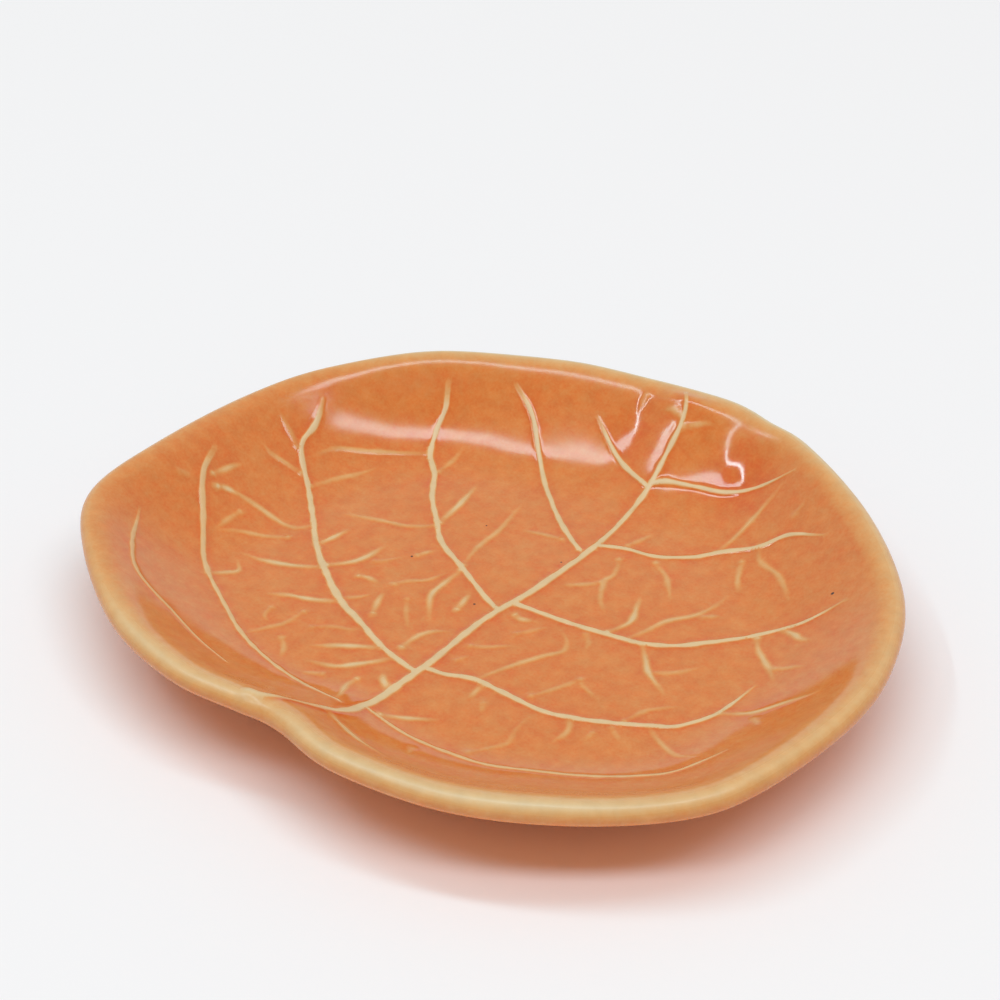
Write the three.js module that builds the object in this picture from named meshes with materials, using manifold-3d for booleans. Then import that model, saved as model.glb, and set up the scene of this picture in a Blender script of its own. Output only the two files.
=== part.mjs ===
// A side plate in the shape of a cabbage leaf, in glazed stoneware.
// The clay leaf is a dish of even thickness whose outline follows a drawn leaf. Its ribs stand up from
// the floor and wall, a foot ring is stuck under the floor, and coats of glaze lie on the clay.
import * as THREE from 'three';
import { mergeVertices } from 'three/addons/utils/BufferGeometryUtils.js';
import Module from 'manifold-3d';

// Driving dimensions, in millimetres
const LEAF_WIDTH = 180;
const LEAF_LENGTH = 160;
const RIM_HEIGHT = 22;
const RIM_WAVE = 1;
const CLAY_THICKNESS = 4.8;
const FLOOR_FILLET = 30;
const FOOT_HEIGHT = 3.2;
const FOOT_WIDTH = 5;
const FOOT_MARGIN = 8;
const FOOT_ROUND = 1;
const STEM_WIDTH = 5;
const STEM_HEIGHT = 1.5;
const MIDRIB_WIDTH = 2.3;
const MIDRIB_HEIGHT = 1.4;
const RIB_WIDTH = 1.6;
const RIB_HEIGHT = 1.1;
const VEIN_WIDTH = 1.1;
const VEIN_HEIGHT = 0.9;
const RIB_ROOT = 0.6;
const INNER_GLAZE = 0.5;
const OUTER_GLAZE = 0.4;
const GLAZE_GAP = 0.02;
const RIB_GAP = 0.1;
const FOOT_GAP = 0.3;

// Angles, in degrees: the wall from level, and how far down each side of the rim the glaze has run
const WALL_SLOPE = 37;
const INNER_GLAZE_EDGE = 20;
const OUTER_GLAZE_EDGE = 50;

// Shares: how much of its size a rib keeps at its tip, how wide and high its shoulders are, and how far
// along the stem its highest place is
const TIP_SHARE = 0.5;
const SHOULDER_SHARE = 0.7;
const STEM_CROWN = 0.5;

// How finely round shapes are cut into flats
const SPOKES = 64;
const FILLET_STEPS = 3;
const RIM_STEPS = 6;
const FOOT_STEPS = 2;
const RIB_STEP = 6.5;

// The leaf as drawn, seen from above with its tip towards +Y. Places are in the drawing's own units,
// and the drawing is stretched to the plate's width and length.
// Rim: across, along, and the share of the wave that lifts the crest there
const RIM_DRAWING = [
  [87, -4, 0.2], [83, 16.5, 0], [72, 38, -0.3], [51, 57.3, 0], [27, 71.7, 0.5], [3, 77, 0.6],
  [-18, 72.5, 0], [-38, 66.5, 0.3], [-62, 51, 0.5], [-77, 32, 0], [-85, 10, -0.3], [-87, -18, 0.2],
  [-84.7, -40.5, 0.6], [-72.5, -55.3, 0.3], [-50, -71, 0], [-28, -75.3, 0], [-12, -74, -0.2],
  [-6, -72.6, -0.9], [0.4, -74.8, -0.2], [16, -77, 0.2], [40, -73.4, 0.3], [61, -62.3, 0],
  [78, -46.4, 0], [85.3, -30.6, 0.3],
];

// Stem: from the crest of the rim at the notch, down the wall to the midrib
const STEM_DRAWING = [[-6.1, -73.5], [-5.4, -69], [-4.4, -63], [-3.2, -58.5], [-1.4, -54.5]];

const MIDRIB_DRAWING = [
  [-3, -58], [-0.8, -53.5], [0.6, -46], [1, -39], [0.4, -28], [-0.2, -14], [0.3, -5], [1.7, 4],
  [2.3, 17], [2, 29], [0.9, 41], [-0.3, 50], [-1.5, 59], [-2.9, 66.5],
];

// Side ribs, each from the midrib outwards: left side from the stem up, then right side
const RIB_DRAWINGS = [
  [[-31, -60.6], [-38, -59], [-48, -56.2], [-61, -53], [-70, -45.5], [-77, -36]],
  [[-1, -53.7], [-15, -52.5], [-26, -50.5], [-37, -47], [-48, -41], [-57, -35.7], [-68, -25],
    [-77, -15.5], [-80, -9]],
  [[0.4, -33.6], [-10, -31.5], [-20, -27.6], [-28.5, -24.2], [-38, -18.3], [-47, -11.4], [-54.5, -4],
    [-62.5, 3.5], [-70.2, 10.4], [-72, 17.5], [-74, 22.5]],
  [[0.3, -5.6], [-8, -2], [-17, 2.5], [-25.5, 6.6], [-31.5, 12.2], [-38.5, 19], [-44, 26.5],
    [-49, 31], [-52, 37.5], [-56, 46.5]],
  [[2, 22.6], [-5, 26.5], [-11, 30.6], [-16.5, 35], [-23, 40.5], [-29, 46.3], [-35.5, 52.2],
    [-42, 55.2]],
  [[-0.2, 49.8], [-8.5, 52.5], [-15, 55.6], [-21.5, 59.3]],
  [[0.4, -50.3], [8, -51.3], [15, -51.8], [24, -50.8], [32, -49.3], [41, -44.8], [50, -40],
    [58, -34.7], [64.5, -29.5], [69.5, -19]],
  [[0.5, -31.4], [6, -30.3], [11.5, -28.2], [20, -27.7], [29, -27.4], [36, -25], [43, -21.5],
    [49, -18], [54, -14.4], [57.5, -8.2], [58.7, -4], [59.4, 5]],
  [[0.8, -1.5], [8, -0.7], [15, 0.2], [23, 2], [31.5, 4.2], [38, 8.2], [43, 13.5], [47.5, 19],
    [52, 24], [57, 28], [62.3, 34]],
  [[2, 27], [8, 30.2], [15, 32], [21, 36.5], [26, 42], [33, 46], [38, 50], [46, 50.7]],
  [[-0.4, 51.3], [3, 53.6], [9, 55.7], [15.5, 57.5], [22, 60.6], [28, 64.2]],
];

// The strongest of the small veins, each from its rib outwards
const VEIN_DRAWINGS = [
  [[58.5, -5.5], [65, -3], [70.5, 1.5], [75, 4.3]],
  [[-40.5, -17], [-46, -20.5], [-52, -23], [-57, -24]],
  [[-40, -15.7], [-37, -12], [-35.3, -8], [-34.8, -2]],
  [[-47, -11.3], [-46, -7], [-45.2, -2.5]],
  [[-29, -24.3], [-34.5, -27.7], [-38.5, -29.3], [-43, -31.8]],
  [[-11, -31.5], [-16.5, -35.2], [-23, -40]],
  [[-6.5, -32.5], [-9, -36.2], [-12, -39.8], [-14.5, -42.5], [-20, -44.5]],
  [[-15.5, 1], [-15.4, -5], [-14.7, -10.5], [-10, -16.5]],
  [[-31, 12.5], [-31.5, 18], [-32.3, 23], [-33.6, 29]],
  [[23.5, 2.5], [25, 8], [23, 14], [21.5, 18]],
  [[32, 4.2], [36, -0.3], [39, -3.3], [45.5, -7]],
  [[50, 21.5], [52.5, 17.5], [59, 12.3], [62.5, 8.5]],
  [[11.8, -28], [14, -21], [17.5, -13], [20, -8.5]],
  [[25, 41], [26, 48], [26.8, 55], [28, 60]],
];

const wasm = await Module();
wasm.setup();

const { degToRad, euclideanModulo, lerp, mapLinear } = THREE.MathUtils;
const slope = degToRad(WALL_SLOPE);
const rimRound = CLAY_THICKNESS / 2;
const rimOverhang = rimRound + GLAZE_GAP + OUTER_GLAZE;
const floorTop = FOOT_HEIGHT + CLAY_THICKNESS;

// The drawing's own size, measured on the crest of its rim
const drawnRim = new THREE.CatmullRomCurve3(RIM_DRAWING.map((point) => new THREE.Vector3(...point)), true);
const drawnCrest = drawnRim.getSpacedPoints(SPOKES).slice(0, SPOKES);
const drawnBox = new THREE.Box3().setFromPoints(drawnCrest);
const drawnSize = drawnBox.getSize(new THREE.Vector3());
const drawnMiddle = drawnBox.getCenter(new THREE.Vector3());

// A drawn place on the plate
function fromDrawing(x, y) {
  const across = (LEAF_WIDTH - 2 * rimOverhang) / drawnSize.x;
  const along = (LEAF_LENGTH - 2 * rimOverhang) / drawnSize.y;
  return new THREE.Vector2((x - drawnMiddle.x) * across, (y - drawnMiddle.y) * along);
}

// Spokes from the middle of the plate to the crest of the rim, counterclockwise
const spokes = drawnCrest.map((point) => {
  const end = fromDrawing(point.x, point.y);
  return {
    direction: end.clone().normalize(),
    angle: end.angle(),
    reach: end.length(),
    crest: RIM_HEIGHT + RIM_WAVE * point.z,
  };
}).sort((a, b) => a.angle - b.angle);

// The fillet that a wall of this height has room for, and how far inside the crest the floor begins
function wallShape(crest) {
  const depth = crest - floorTop;
  const drop = 1 - Math.cos(slope);
  const fillet = Math.min(FLOOR_FILLET, depth / drop - rimRound);
  const straight = (depth - (fillet + rimRound) * drop) / Math.tan(slope);
  return { fillet, floorInset: (fillet + rimRound) * Math.sin(slope) + straight };
}

// Section stations are [inset from the crest, height]. An offset lifts them off the clay's inner face.
function filletStations(crest, offset) {
  const { fillet, floorInset } = wallShape(crest);
  const radius = fillet - offset;
  return Array.from({ length: FILLET_STEPS + 1 }, (_, step) => {
    const turn = slope * step / FILLET_STEPS;
    return [floorInset - radius * Math.sin(turn), floorTop + fillet - radius * Math.cos(turn)];
  });
}

// Turns round the rim, from the outside of the wall over the crest, at zero, to the inside of the wall
const rimTurns = Array.from({ length: RIM_STEPS + 1 }, (_, step) => (
  slope - Math.PI * (1 - step / RIM_STEPS)
));

function rimStation(crest, offset, turn) {
  const radius = rimRound + offset;
  return [radius * Math.sin(turn), crest - rimRound + radius * Math.cos(turn)];
}

// Height of the clay's inner face at a place seen from above
function faceHeight(place) {
  const angle = place.angle();
  const next = Math.max(0, spokes.findIndex((spoke) => spoke.angle > angle));
  const after = spokes[next];
  const before = spokes.at(next - 1);
  const turned = euclideanModulo(angle - before.angle, 2 * Math.PI);
  const share = turned / euclideanModulo(after.angle - before.angle, 2 * Math.PI);
  const crest = lerp(before.crest, after.crest, share);
  const inset = lerp(before.reach, after.reach, share) - place.length();
  const { fillet, floorInset } = wallShape(crest);
  const run = floorInset - inset;
  const rimInset = rimRound * Math.sin(slope);
  if (run <= 0) return floorTop;
  if (run < fillet * Math.sin(slope)) return floorTop + fillet - Math.sqrt(fillet ** 2 - run ** 2);
  if (inset < rimInset) return crest - rimRound + Math.sqrt(rimRound ** 2 - inset ** 2);
  return crest - rimRound * (1 - Math.cos(slope)) - (inset - rimInset) * Math.tan(slope);
}

// Closed surface through rows of points. Each row is a loop, and the rows close on themselves too where
// asked. Points that coincide, as at the middle of the plate, become one. Each four-sided patch is split
// from its inner row to its outer row, so that faces that lie on each other are split alike.
function closedSurface(rows, rowsWrap) {
  const columns = rows[0].length;
  const corners = [];
  for (let row = 0; row < rows.length - (rowsWrap ? 0 : 1); row += 1) {
    const nextRow = (row + 1) % rows.length;
    for (let column = 0; column < columns; column += 1) {
      const nextColumn = (column + 1) % columns;
      const here = row * columns + column;
      const side = row * columns + nextColumn;
      const ahead = nextRow * columns + column;
      const across = nextRow * columns + nextColumn;
      const [x, y] = rows[row][column];
      const [aheadX, aheadY] = rows[nextRow][column];
      if (Math.hypot(x, y) > Math.hypot(aheadX, aheadY)) {
        corners.push(here, side, ahead, side, across, ahead);
      } else {
        corners.push(here, side, across, here, across, ahead);
      }
    }
  }
  const sheet = new THREE.BufferGeometry();
  sheet.setAttribute('position', new THREE.Float32BufferAttribute(rows.flat(2), 3));
  sheet.setIndex(corners);
  const merged = mergeVertices(sheet);
  const kept = [];
  for (let i = 0; i < merged.index.count; i += 3) {
    const triangle = [0, 1, 2].map((k) => merged.index.getX(i + k));
    if (new Set(triangle).size === 3) kept.push(...triangle);
  }
  return merged.setIndex(kept);
}

// A section carried round the plate, outwards along its underside and back along its top
function carriedRound(sectionAt, rowsWrap) {
  const sections = spokes.map(sectionAt);
  const rows = sections[0].map((_, station) => spokes.map((spoke, i) => {
    const [inset, height] = sections[i][station];
    const place = spoke.direction.clone().multiplyScalar(spoke.reach - inset);
    return [place.x, place.y, height];
  }));
  return closedSurface(rows, rowsWrap);
}

function toSolid(geometry) {
  return new wasm.Manifold(new wasm.Mesh({
    numProp: 3,
    vertProperties: geometry.attributes.position.array,
    triVerts: Uint32Array.from(geometry.index.array),
  }));
}

function toGeometry(solid) {
  const { vertProperties, triVerts } = solid.getMesh();
  const geometry = new THREE.BufferGeometry();
  geometry.setAttribute('position', new THREE.BufferAttribute(vertProperties, 3));
  return geometry.setIndex(new THREE.BufferAttribute(triVerts, 1));
}

// A section carried along a drawn route over the clay's inner face. Its corners are [to the left of the
// route, above the face] and run over the top from left to right.
function carriedAlong({ drawing }, sectionAt) {
  const route = new THREE.SplineCurve(drawing.map(([x, y]) => fromDrawing(x, y)));
  const steps = Math.ceil(route.getLength() / RIB_STEP);
  const rows = route.getSpacedPoints(steps).map((place, step) => {
    const forward = route.getTangentAt(step / steps);
    const left = new THREE.Vector2(-forward.y, forward.x);
    return sectionAt(step / steps).map(([aside, lift]) => {
      const corner = place.clone().addScaledVector(left, aside);
      return [corner.x, corner.y, faceHeight(corner) + lift];
    });
  });
  const endOf = (row) => {
    const middle = [0, 1, 2].map((axis) => row.reduce((sum, point) => sum + point[axis] / row.length, 0));
    return row.map(() => middle);
  };
  return toSolid(closedSurface([endOf(rows[0]), ...rows, endOf(rows.at(-1))], false));
}

// A rib is rooted in the clay and rounded on top. Its size tapers from its base to its tip.
function ribSection({ width, height }, along) {
  const half = width(along) / 2;
  const top = height(along);
  const shoulder = half * SHOULDER_SHARE;
  const shoulderTop = top * SHOULDER_SHARE;
  return [
    [half, -RIB_ROOT], [shoulder, shoulderTop], [0, top], [-shoulder, shoulderTop], [-half, -RIB_ROOT],
  ];
}

// The groove that a rib leaves in the glaze, through its whole thickness
function grooveSection({ width }, along) {
  const half = width(along) / 2 + RIB_GAP;
  const reach = 2 * (GLAZE_GAP + INNER_GLAZE);
  return [[half, -reach], [half, reach], [-half, reach], [-half, -reach]];
}

const tapered = (size) => (along) => size * lerp(1, TIP_SHARE, along);
const stem = {
  drawing: STEM_DRAWING,
  width: (along) => lerp(STEM_WIDTH, MIDRIB_WIDTH, along),
  height: (along) => (along < STEM_CROWN
    ? mapLinear(along, 0, STEM_CROWN, 0, STEM_HEIGHT)
    : mapLinear(along, STEM_CROWN, 1, STEM_HEIGHT, MIDRIB_HEIGHT)),
};
const midrib = {
  drawing: MIDRIB_DRAWING,
  width: tapered(MIDRIB_WIDTH),
  height: tapered(MIDRIB_HEIGHT),
};
const sideRibs = RIB_DRAWINGS.map((drawing) => ({
  drawing,
  width: tapered(RIB_WIDTH),
  height: tapered(RIB_HEIGHT),
}));
const veins = VEIN_DRAWINGS.map((drawing) => ({
  drawing,
  width: tapered(VEIN_WIDTH),
  height: tapered(VEIN_HEIGHT),
}));
const relief = [stem, midrib, ...sideRibs, ...veins];

// Clay leaf: the dish, from under its middle out over the rim and back, with its relief joined on
function leafSection({ reach, crest }) {
  return [
    [reach, FOOT_HEIGHT],
    ...filletStations(crest, -CLAY_THICKNESS),
    ...rimTurns.map((turn) => rimStation(crest, 0, turn)),
    ...filletStations(crest, 0).toReversed(),
    [reach, floorTop],
  ];
}

function leafBody() {
  const dish = toSolid(carriedRound(leafSection, false));
  const ribs = relief.map((rib) => carriedAlong(rib, (along) => ribSection(rib, along)));
  return toGeometry(ribs.reduce((clay, rib) => clay.add(rib), dish));
}

// The foot ring's outside is an oval that stays inside the flat floor, here as an inset from the crest
function footInset({ direction, reach }) {
  const edge = rimOverhang + wallShape(RIM_HEIGHT).floorInset + FOOT_MARGIN;
  const across = LEAF_WIDTH / 2 - edge;
  const along = LEAF_LENGTH / 2 - edge;
  return reach - across * along / Math.hypot(along * direction.x, across * direction.y);
}

// Foot ring: flat on top against the leaf, with its two lower edges rounded
function footSection(spoke) {
  const outside = footInset(spoke);
  const inside = outside + FOOT_WIDTH;
  const round = (middle, from) => Array.from({ length: FOOT_STEPS + 1 }, (_, step) => {
    const turn = from + Math.PI / 2 * step / FOOT_STEPS;
    return [middle + FOOT_ROUND * Math.cos(turn), FOOT_ROUND - FOOT_ROUND * Math.sin(turn)];
  });
  return [
    ...round(inside - FOOT_ROUND, 0),
    ...round(outside + FOOT_ROUND, Math.PI / 2),
    [outside, FOOT_HEIGHT],
    [inside, FOOT_HEIGHT],
  ];
}

// Inner glaze: a coat over floor and wall that runs out to nothing just inside the crest
function innerGlazeSection({ reach, crest }) {
  const under = GLAZE_GAP;
  const over = GLAZE_GAP + INNER_GLAZE;
  const edge = degToRad(INNER_GLAZE_EDGE);
  const turns = rimTurns.filter((turn) => turn > edge);
  return [
    [reach, floorTop + under],
    ...filletStations(crest, under),
    ...turns.toReversed().map((turn) => rimStation(crest, under, turn)),
    rimStation(crest, under, edge),
    ...turns.map((turn) => rimStation(crest, over, turn)),
    ...filletStations(crest, over).toReversed(),
    [reach, floorTop + over],
  ];
}

function innerGlaze() {
  const coat = toSolid(carriedRound(innerGlazeSection, false));
  const grooves = relief.map((rib) => carriedAlong(rib, (along) => grooveSection(rib, along)));
  return toGeometry(grooves.reduce((glaze, groove) => glaze.subtract(groove), coat));
}

// Outer glaze: a coat from beside the foot ring, up the outside of the wall and part way round the rim
function outerGlazeSection(spoke) {
  const { crest } = spoke;
  const footSide = footInset(spoke) - FOOT_GAP;
  const outside = GLAZE_GAP + OUTER_GLAZE;
  const edge = degToRad(-OUTER_GLAZE_EDGE);
  const turns = rimTurns.filter((turn) => turn < edge);
  return [
    [footSide, FOOT_HEIGHT - outside],
    ...filletStations(crest, -CLAY_THICKNESS - outside),
    ...turns.slice(0, -1).map((turn) => rimStation(crest, outside, turn)),
    rimStation(crest, GLAZE_GAP, edge),
    ...turns.toReversed().map((turn) => rimStation(crest, GLAZE_GAP, turn)),
    ...filletStations(crest, -CLAY_THICKNESS - GLAZE_GAP).toReversed(),
    [footSide, FOOT_HEIGHT - GLAZE_GAP],
  ];
}

// Base glaze: a coat on the underside, inside the foot ring
function baseGlazeSection(spoke) {
  const { reach } = spoke;
  const edge = footInset(spoke) + FOOT_WIDTH + FOOT_GAP;
  const lower = FOOT_HEIGHT - GLAZE_GAP - OUTER_GLAZE;
  const upper = FOOT_HEIGHT - GLAZE_GAP;
  return [[reach, lower], [edge, lower], [edge, upper], [reach, upper]];
}

const clayFinish = { color: '#e2c39c', roughness: 0.55, metalness: 0 };
const glazeFinish = { color: '#d0743a', roughness: 0.15, metalness: 0 };

function piece(name, geometry, finish) {
  const mesh = new THREE.Mesh(geometry, new THREE.MeshStandardMaterial(finish));
  mesh.name = name;
  return mesh;
}

const plate = new THREE.Group();
plate.add(
  piece('leaf_body', leafBody(), clayFinish),
  piece('foot_ring', carriedRound(footSection, true), clayFinish),
  piece('inner_glaze', innerGlaze(), glazeFinish),
  piece('outer_glaze', carriedRound(outerGlazeSection, true), glazeFinish),
  piece('base_glaze', carriedRound(baseGlazeSection, false), glazeFinish),
);

export default plate;
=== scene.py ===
import math

import bpy
import numpy as np
from mathutils import Matrix, Vector, geometry, noise


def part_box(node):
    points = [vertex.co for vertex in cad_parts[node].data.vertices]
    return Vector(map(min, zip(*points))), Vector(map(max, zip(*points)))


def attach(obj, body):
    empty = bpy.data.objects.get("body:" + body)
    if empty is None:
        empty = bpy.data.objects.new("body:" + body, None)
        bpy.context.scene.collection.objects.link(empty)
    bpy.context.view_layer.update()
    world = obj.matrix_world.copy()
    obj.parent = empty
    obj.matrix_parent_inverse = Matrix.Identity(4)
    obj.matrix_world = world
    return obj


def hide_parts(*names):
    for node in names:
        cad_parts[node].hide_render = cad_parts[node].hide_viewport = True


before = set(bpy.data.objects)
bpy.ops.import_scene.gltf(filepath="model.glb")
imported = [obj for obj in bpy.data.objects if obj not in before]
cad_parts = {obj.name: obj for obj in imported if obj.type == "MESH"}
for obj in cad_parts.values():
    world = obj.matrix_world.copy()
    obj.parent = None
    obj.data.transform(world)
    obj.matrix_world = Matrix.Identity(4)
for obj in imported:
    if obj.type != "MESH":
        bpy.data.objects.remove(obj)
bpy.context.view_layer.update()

# Camera
# The plate is seen past its stem from the right, from well above it and about four plate widths away,
# through a long lens.
CAMERA_PLACE = Vector((0.33446, -0.42699, 0.40440))
CAMERA_FACING = Vector((-0.51272, 0.64741, -0.56390))
CAMERA_LENS = 110.9

camera_data = bpy.data.cameras.new("camera")
camera_data.lens = CAMERA_LENS
camera = bpy.data.objects.new("camera", camera_data)
camera.location = CAMERA_PLACE
camera.rotation_euler = CAMERA_FACING.to_track_quat("-Z", "Y").to_euler()
bpy.context.collection.objects.link(camera)
bpy.context.scene.camera = camera

# Pressed leaf
# A slab of pale stoneware pressed in a mould in the shape of a cabbage leaf, so that its floor, wall, rim,
# stem and ribs are one piece of clay, dipped in white slip outside and below. A clear orange glaze over it
# breaks thin over the ribs and the rim, where the clay shows through, and pools beside them.

# Places on the leaf are in millimetres, seen from above with the tip towards +Y
MILLIMETRE = 0.001

# Height of the rim's waves, and the rim's radius outside and inside its crest
RIM_WAVE = 1
RIM_OUTSIDE = 2.4
RIM_INSIDE = 7

# Crest of the rim: across, along, and the share of the wave that lifts it there. The drawing is scaled so
# that a crest as wide and as long as RIM_SPAN would fill the box of the outer glaze.
RIM_SPAN = (174.2, 154.8)
RIM = [
    (86.7, -4, 0.2), (83, 16.5, 0), (72, 38, -0.3), (51, 57.6, 0), (27, 71, 0.3), (15, 74, 0.3),
    (3, 75.8, 0.3), (-18, 72.2, 0), (-37.7, 65.9, 0.25), (-62, 51, 0.5), (-77, 32, 0), (-85, 10, -0.3),
    (-87, -18, 0.2), (-84.7, -40, 0.6), (-72, -54.7, 0.3), (-49.3, -69.4, 0), (-28, -75, 0),
    (-12, -73.9, -0.2), (-6, -73, -0.4), (0.4, -73.6, -0.2), (16, -76.7, 0.2), (39.8, -72.9, 0.3),
    (60.5, -61.6, 0), (77.5, -45.8, 0), (84.4, -30, 0.3),
]

# Width of the wall seen from above, from the crest to the floor, and how straight its section is, by the
# angle round from +X in degrees
WALL = [
    (0, 33, 0.3), (30, 33, 0.3), (60, 33, 0.3), (75, 34, 0.2), (90, 35, 0.2), (102, 34.5, 0.3),
    (110, 35, 0.5), (118, 35, 0.6), (126, 35, 0.5), (134, 34.5, 0.2), (142, 34, 0), (155, 33, 0),
    (180, 33.5, 0.3), (210, 34, 0.3), (235, 33.5, 0.3), (260, 32.5, 0.3), (285, 33, 0.3),
    (320, 34, 0.3),
]

# Share of the glaze that has run off the rim, and how many degrees outside the crest it is barest, by the
# same angle
RIM_BARE = [
    (4, 0.68, 12), (25, 0.65, 14), (50, 0.75, 18), (72, 0.9, 22), (103, 0.95, 24), (139, 0.95, 24),
    (156, 0.7, 28), (174, 0.5, 30), (193, 0.5, 28), (212, 0.45, 22), (225, 0.58, 18), (240, 0.85, 13),
    (259, 0.8, 12), (267, 0.7, 14), (274, 0.85, 12), (295, 0.9, 12), (314, 0.95, 12), (331, 0.8, 12),
]

# Stem and ribs: how clear of glaze each one is, then its places with the width of its pale crest
RIBS = [
    (0.85, [(-10.8, -73, 2.4), (-8.2, -71.7, 1.9), (-6, -69.5, 1.5), (-4.3, -66.7, 1.3),
            (-2.7, -63.4, 1.3), (-1, -60.5, 1.5), (0.2, -58.5, 1.6), (0.5, -55.5, 1.6), (0.4, -53, 1.6),
            (0.3, -50, 1.6)]),
    (1, [(-1.6, -61.2, 1.1), (0, -58.9, 1.5), (0.5, -55.5, 1.8), (0.3, -50, 1.85), (0.3, -40, 1.85),
         (0.5, -28, 1.7), (-0.2, -14, 1.6), (0.2, -5, 1.6), (1.7, 4, 1.6), (2.3, 17, 1.5),
         (2.1, 28, 1.45), (1, 41, 1.35), (-0.2, 50, 1.25), (-1.3, 58, 1.1), (-2.6, 66, 1),
         (-4, 69.5, 1), (-6.5, 73, 0.8)]),
    (0.8, [(-28, -61, 0.3), (-38, -59, 0.6), (-48, -56.2, 0.7), (-61, -53, 0.8), (-70, -45.5, 0.9),
           (-77.5, -35.5, 0.5)]),
    (0.9, [(-3.7, -53.6, 0.6), (-15, -52.5, 0.8), (-26, -50.5, 0.9), (-37, -47, 1), (-48, -41, 1),
           (-57, -35.7, 1.1), (-63, -31, 1.1), (-69, -24.3, 1.2), (-77, -15.5, 1.2), (-80.3, -8, 0.9)]),
    (1, [(-0.5, -33.6, 1.3), (-10, -31.5, 1.4), (-20, -27.6, 1.5), (-28.5, -24.2, 1.6),
         (-38, -18.3, 1.6), (-47, -11.4, 1.4), (-54.5, -4, 1.3), (-62.5, 3.5, 1.2), (-70.3, 10.3, 1.2),
         (-72, 17.5, 1.2), (-74.5, 23, 0.9)]),
    (1, [(-0.5, -5.3, 1.2), (-8, -2, 1.2), (-17, 2.5, 1.3), (-25.5, 6.6, 1.3), (-31.5, 12.2, 1.3),
         (-38.5, 19, 1.3), (-44, 26.5, 1.3), (-49, 31, 1.2), (-52, 37.5, 1.1), (-53.5, 42.5, 1.15),
         (-56.3, 46.8, 1.05)]),
    (1, [(0.3, 23.5, 1.2), (-5, 26.5, 1.2), (-11, 30.6, 1.2), (-16.5, 35, 1.1), (-23, 40.5, 1.1),
         (-29, 46.3, 1), (-35.5, 52.2, 1), (-42.5, 55.3, 0.9)]),
    (1, [(-0.4, 50, 1.1), (-8.5, 52.5, 1), (-15, 55.6, 0.9), (-21.5, 59.3, 0.8)]),
    (0.85, [(1, -50.5, 0.7), (8, -51.3, 0.8), (15, -51.8, 0.9), (24, -50.8, 1), (32, -49.3, 1),
            (41, -44.8, 1), (50, -40, 1.1), (58, -34.7, 1.1), (64.5, -29.5, 1), (69.5, -19, 0.5)]),
    (1, [(1.5, -31.2, 1.3), (6, -30.3, 1.3), (11.5, -28, 1.4), (20, -27.7, 1.3), (29, -27.5, 1.3),
         (36, -25, 1.3), (43, -21.5, 1.2), (49, -18, 1.2), (54, -14.4, 1.2), (57.5, -8.2, 1.1),
         (58.7, -4, 1), (59.4, 5.5, 0.5)]),
    (1, [(1.5, -1.3, 1.3), (8, -0.7, 1.3), (15, 0.2, 1.3), (23, 2, 1.4), (31.5, 4.2, 1.4),
         (38, 8.2, 1.3), (43, 13.5, 1.3), (47.5, 19, 1.2), (52, 24, 1.1), (57, 28, 1),
         (62.5, 34, 0.5)]),
    (1, [(2.3, 27.3, 1.2), (8, 30.2, 1.2), (15, 32, 1.2), (21, 36.5, 1.3), (26, 42, 1.3), (33, 46, 1.1),
         (38, 50, 1), (46.5, 50.6, 0.5)]),
    (1, [(0.3, 51.7, 1.2), (3, 53.6, 1.2), (9, 55.7, 1.1), (15.5, 57.5, 1), (22, 60.6, 0.8),
         (29, 65, 0.4)]),
]

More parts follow.
